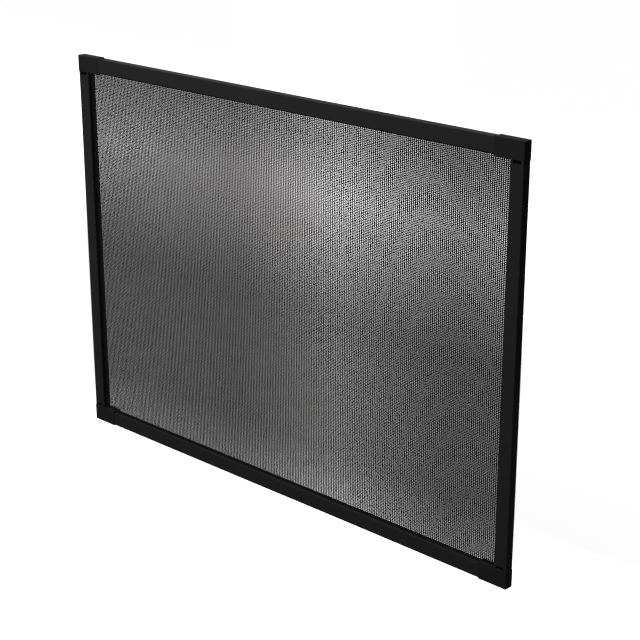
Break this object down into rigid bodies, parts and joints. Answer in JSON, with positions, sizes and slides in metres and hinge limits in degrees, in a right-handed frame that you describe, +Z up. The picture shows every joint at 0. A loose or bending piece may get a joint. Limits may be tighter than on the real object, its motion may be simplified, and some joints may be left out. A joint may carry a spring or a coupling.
{
  "type": "window screen frame",
  "caption": "Upright framed insect screen: hollow metal profiles joined by rectangular corner blocks, holding a stretched woven mesh.",
  "frame": {"origin": "middle of the bottom edge at half the thickness, level with the lowest faces of the corner blocks", "axes": "+X along the rails to the right seen from the front, +Y from the front face through to the back face that seats on the window, +Z up"},
  "size_m": [0.7988, 0.0132, 0.5722],
  "materials": {
    "profile": "satin black powder coat on extruded aluminium",
    "key": "moulded black nylon, fine grain",
    "spline": "ribbed black rubber",
    "mesh": "woven coated yarn, dark grey to black, slight sheen"
  },
  "bodies": {
    "root": {"top_rail": "profile", "bottom_rail": "profile", "left_stile": "profile", "right_stile": "profile", "top_left_key": "key", "top_right_key": "key", "bottom_left_key": "key", "bottom_right_key": "key", "top_spline": "spline", "bottom_spline": "spline", "left_spline": "spline", "right_spline": "spline", "insect_mesh": "mesh"}
  },
  "joints": []
}
